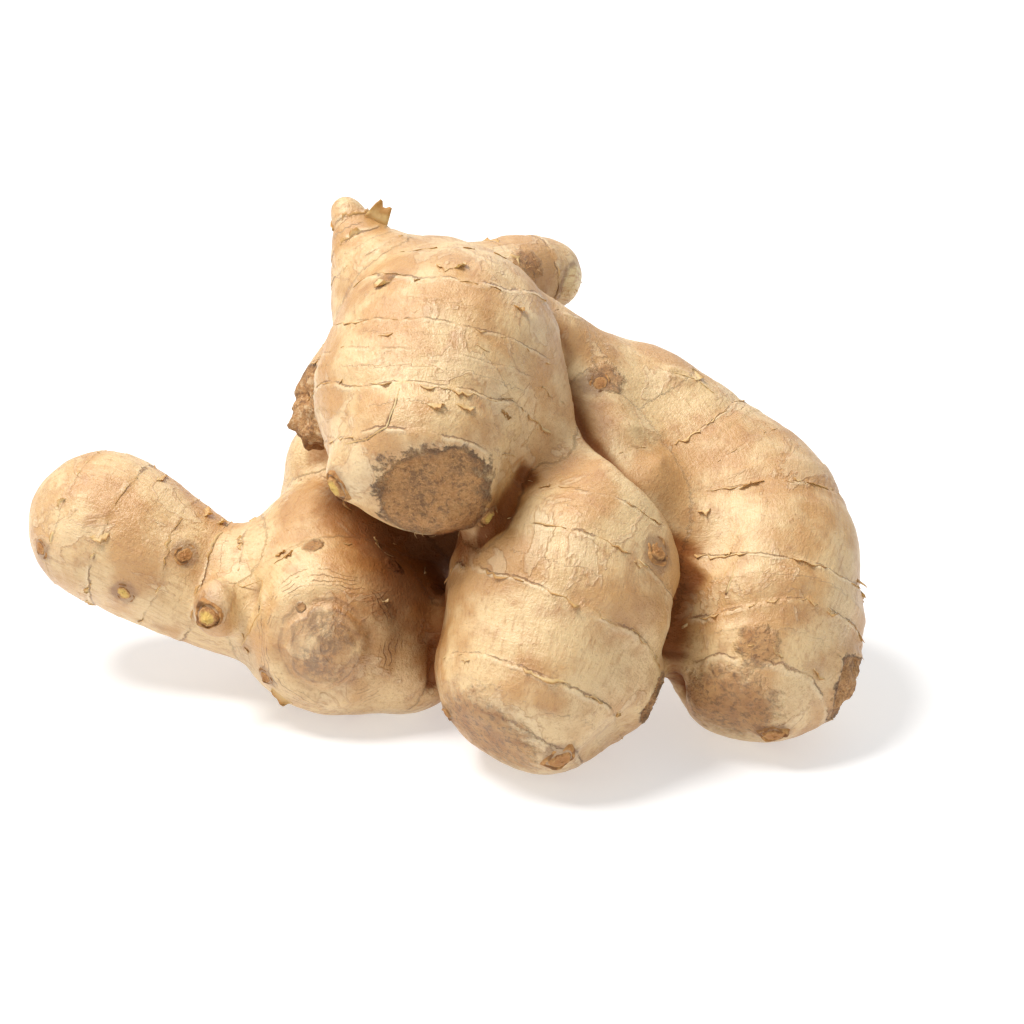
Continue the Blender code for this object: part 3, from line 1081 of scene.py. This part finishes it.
def broken_ends(n, f, colour):
    """Rough scars: gritty straw and tan, with brown and grey crumbs, and a darker rim."""
    scar_at = n.add(n.attribute("scar"), n.wobble(n.noise(f.place, 0.0022, 6.0, 0.7), 0.8))
    f.scar = n.step(scar_at, -0.06, 0.10)
    rim = n.times(n.step(scar_at, -0.06, 0.0), n.step(scar_at, 0.10, 0.02))
    inner_rim = n.step(scar_at, 0.30, 0.02)
    grey = n.times(n.step(n.noise(f.place, 0.0055, 4.0), 0.50, 0.62), n.step(f.grit, 0.60, 0.44))
    pale_crumbs = n.times(n.step(f.crumbs, 0.48, 0.40), n.step(n.attribute("crumbling"), 0.6, 1.6))
    inside = n.mix(n.step(f.grit, 0.38, 0.62), SCAR_TAN, SCAR_STRAW)
    inside = n.mix(n.step(f.crumbs, 0.50, 0.62, 0.0, 0.75), inside, SCAR_BROWN)
    inside = n.mix(n.times(grey, 0.35), inside, SCAR_GREY)
    inside = n.mix(n.times(pale_crumbs, 0.60), inside, PAPER)
    inside = n.mix(n.times(inner_rim, n.step(f.tufts, 0.45, 0.62), 0.45), inside, SCAR_BROWN)
    colour = n.mix(n.times(f.scar, 0.92), colour, inside)
    return n.mix(n.times(rim, n.step(f.tufts, 0.40, 0.55), 0.40), colour, SCAR_BROWN)


def growth_circles(n, f, colour):
    """The round scar: tan with dark circles and a grey core, and fine arcs in the skin round it."""
    circle_at = n.add(n.attribute("circles"), n.wobble(n.noise(f.place, 0.004, 5.0), 0.24))
    f.waves = n.math("SINE", n.times(circle_at, 34.0))
    f.in_circle = n.step(circle_at, 0.0, 0.30)
    dark = n.times(f.in_circle, n.step(f.waves, 0.6, 1.0), n.step(f.tufts, 0.46, 0.58))
    arc_gap = 0.085
    to_and_fro = n.math("PINGPONG", n.add(circle_at, 1.0), arc_gap)
    near_arc = n.math("ABSOLUTE", n.add(to_and_fro, -arc_gap / 2))
    around = n.times(n.step(circle_at, -0.42, -0.20), n.step(circle_at, 0.12, 0.0))
    f.arcs = n.times(n.step(near_arc, 0.012, 0.0), around, n.step(f.blotches, 0.46, 0.54))
    core = n.times(n.step(circle_at, 0.10, 0.70), n.step(f.crumbs, 0.60, 0.44))
    core = n.times(core, n.step(f.blotches, 0.36, 0.56))
    colour = n.mix(n.times(f.in_circle, n.step(f.tufts, 0.3, 0.6), 0.55), colour, SCAR_TAN)
    colour = n.mix(n.times(dark, 0.35), colour, SCAR_BROWN)
    colour = n.mix(n.times(f.arcs, 0.6), colour, RING_BROWN)
    return n.mix(n.times(core, 0.55), colour, SCAR_GREY)


def pale_end(n, f, colour):
    """The cream end of the bud behind the crown, where it was snapped off."""
    end = n.attribute("pale_end")
    snapped = n.step(n.add(end, n.wobble(f.crumbs, 0.5)), 0.0, 0.15)
    edge = n.times(n.step(end, -0.15, 0.0), n.step(end, 0.25, 0.05))
    inside = n.mix(n.step(f.streaks, 0.45, 0.7), END_CREAM, TAN)
    colour = n.mix(n.times(snapped, 0.85), colour, inside)
    return n.mix(n.times(edge, n.step(f.tufts, 0.42, 0.55), 0.6), colour, RING_BROWN)


def marks_and_cracks(n, f, colour):
    """Worn brown marks, the dark skin round each bud, cracks, and painted shade in crevices."""
    mark_at = n.add(n.attribute("mark"), n.wobble(n.noise(f.place, 0.002, 4.0), 0.9))
    f.mark = n.step(mark_at, 0.0, 0.40)
    mark_colour = n.mix(n.step(f.tufts, 0.40, 0.62), SCAR_TAN, SCAR_STRAW)
    mark_colour = n.mix(n.step(f.crumbs, 0.48, 0.62, 0.0, 0.8), mark_colour, SCAR_BROWN)
    colour = n.mix(n.times(f.mark, 0.80), colour, mark_colour)
    bud_at = n.add(n.attribute("bud"), n.wobble(n.noise(f.place, 0.002, 4.0), 0.5))
    colour = n.mix(n.step(bud_at, 0.35, 0.62, 0.0, 0.55), colour, RING_BROWN)
    crack_at = n.add(n.attribute("crack"), n.wobble(f.crumbs, 0.5))
    f.crack = n.step(crack_at, 0.38, 0.12)
    colour = n.mix(n.times(f.crack, 0.90), colour, RING_BROWN)
    # Painted shade: crevices and furrow bottoms are darkened to a red-brown.
    return n.mix(n.step(f.crevice_shade, 0.22, 0.80, 0.0, 0.90), colour, PAINTED_CREVICE_SHADE)


def skin_material():
    n = Nodes("ginger_skin")
    f = shared_fields(n)
    colour = thin_skin(n, f)
    for layer in (peeled_skin, ring_lines, broken_ends, growth_circles, pale_end, marks_and_cracks):
        colour = layer(n, f, colour)

    rough = n.math("MAXIMUM", f.scar, n.math("MAXIMUM", f.mark, f.crack))
    roughness = n.add(n.step(f.streaks, 0.3, 0.8, 0.40, 0.56), n.times(rough, 0.35))
    open_coat = n.step(f.crevice_shade, 0.10, 0.50, 0.45, 0.0)
    n.shade(
        Base_Color=colour,
        Roughness=n.math("MINIMUM", roughness, 0.95),
        Specular_IOR_Level=n.step(f.crevice_shade, 0.15, 0.70, 0.8, 0.1),
        Coat_Weight=n.times(open_coat, n.step(f.scar, 0.0, 1.0, 1.0, 0.1)),
        Coat_Roughness=0.42,
        Subsurface_Weight=0.08,
        Subsurface_Radius=(1.0, 0.6, 0.3),
        Subsurface_Scale=1.2 * MM,
    )
    height = n.add(
        n.times(f.streaks, 0.12),
        n.times(f.fine_streaks, 0.07),
        n.times(f.speckles, 0.10),
        n.times(n.noise(f.place, 0.0024, 5.0, 0.65), 0.22),
        n.times(f.peel, 0.05),
        n.times(f.peel_edge, 0.06),
        n.times(f.line, -0.18),
        n.times(f.torn, 0.16),
        n.times(f.beyond, f.fine_streaks, 0.05),
        n.times(f.wrinkles, 0.14),
        n.times(n.noise(f.place, 0.0004, 3.0, 0.7), 0.15),
        n.times(rough, f.crumbs, 0.80),
        n.times(rough, f.grit, 0.30),
        n.times(rough, f.tufts, 0.60),
        n.times(f.in_circle, f.waves, 0.05),
        n.times(f.arcs, -0.14),
        n.times(f.crack, -0.35),
    )
    n.bump(height, 0.9)
    return n.material


def bud_material():
    n = Nodes("bud_scales")
    place = n.place()
    part = n.attribute("bud_part")
    is_yellow = n.step(part, 1.4, 1.6)
    t = n.math("SUBTRACT", part, n.times(is_yellow, 2.0))
    grain = n.noise(place, 0.0007, 5.0, 0.7)
    t_at = n.add(t, n.wobble(grain, 0.3))
    collar = n.times(n.step(t_at, 0.12, 0.30), n.step(t_at, 0.62, 0.48))
    collar_patches = n.step(n.noise(place, 0.0018, 3.0), 0.40, 0.58)
    tip = n.step(t_at, 0.58, 0.76)
    colour = n.mix(n.step(grain, 0.35, 0.65), DEEP_TAN, TAN)
    colour = n.mix(n.times(collar, collar_patches, 0.70), colour, SCAR_BROWN)
    colour = n.mix(n.times(tip, 0.8), colour, n.mix(is_yellow, DEEP_TAN, BUD_YELLOW))
    colour = n.mix(n.step(grain, 0.60, 0.75, 0.0, 0.5), colour, SCAR_BROWN)
    n.shade(Base_Color=colour, Roughness=n.step(t_at, 0.4, 0.9, 0.75, 0.5))
    n.bump(n.times(grain, 0.35), 0.8)
    return n.material


def flake_material():
    n = Nodes("papery_flakes")
    place = n.place()
    grain = n.noise(place, 0.0008, 5.0, 0.7)
    edge_at = n.add(n.attribute("flake_edge"), n.wobble(grain, 0.5))
    colour = n.mix(n.step(n.noise(place, 0.008, 2.0), 0.35, 0.65), TAN, PALE)
    colour = n.mix(n.step(edge_at, 0.6, 1.0, 0.0, 0.75), colour, DEEP_TAN)
    n.shade(
        Base_Color=colour,
        Roughness=n.step(grain, 0.3, 0.7, 0.5, 0.75),
        Subsurface_Weight=0.2,
        Subsurface_Radius=(1.0, 0.6, 0.3),
        Subsurface_Scale=1.0 * MM,
    )
    n.bump(n.times(grain, 0.15), 0.6)
    return n.material


def fibre_material():
    n = Nodes("torn_fibres")
    place = n.place()
    colour = n.mix(n.noise(place, 0.004, 3.0), SCAR_TAN, PALE)
    n.shade(Base_Color=colour, Roughness=n.step(n.noise(place, 0.001), 0.3, 0.7, 0.6, 0.85))
    n.bump(n.times(n.noise(place, 0.0004), 0.1), 0.5)
    return n.material


# ---- floor, light and camera

def floor():
    """A wide pale disc that glows a little, so that it stays white all round the root."""
    bpy.ops.mesh.primitive_circle_add(vertices=96, radius=3.0, fill_type="NGON")
    disc = bpy.context.object
    disc.name = "floor"
    n = Nodes("floor")
    n.shade(
        Base_Color=(0.62, 0.62, 0.62, 1.0),
        Emission_Color=(1.0, 1.0, 1.0, 1.0),
        Emission_Strength=0.45,
        Roughness=0.6,
        Specular_IOR_Level=0.2,
    )
    disc.data.materials.append(n.material)
    return disc


def area_light(name, place, size, power, colour):
    light = bpy.data.lights.new(name, "AREA")
    light.shape = "DISK"
    light.size = size
    light.energy = power
    light.color = colour
    obj = new_object(name, light)
    obj.location = place
    direction = Vector(LIGHT_TARGET) - Vector(place)
    obj.rotation_euler = direction.to_track_quat("-Z", "Y").to_euler()


def lights():
    area_light("key", *KEY_LIGHT)
    area_light("back", *BACK_LIGHT)
    world = bpy.data.worlds.new("studio")
    bpy.context.scene.world = world
    world.use_nodes = True
    background = world.node_tree.nodes["Background"]
    background.inputs["Color"].default_value = (1, 1, 1, 1)
    background.inputs["Strength"].default_value = STUDIO_STRENGTH


def camera():
    """Looks down on the root from the front."""
    data = bpy.data.cameras.new("camera")
    data.lens = 85
    data.sensor_width = 36
    data.clip_start = 0.01
    obj = new_object("camera", data)
    elevation = math.radians(CAMERA_ELEVATION)
    away = Vector((0, -math.cos(elevation), math.sin(elevation)))
    obj.location = Vector(CAMERA_TARGET) + away * CAMERA_DISTANCE
    obj.rotation_euler = (-away).to_track_quat("-Z", "Y").to_euler()
    bpy.context.scene.camera = obj


def main():
    skin = fine_skin()
    blend_saddles(skin.data)
    fingers, tree = grow_skin(skin.data)
    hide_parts("ginger_root")

    pieces = [
        (skin, skin_material()),
        (buds(tree), bud_material()),
        (flakes(fingers, tree), flake_material()),
        (fibres(tree), fibre_material()),
    ]
    for piece, material in pieces:
        piece.data.materials.append(material)
        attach(piece, "root")

    floor()
    lights()
    camera()
    bpy.context.scene.view_settings.view_transform = "Standard"


main()
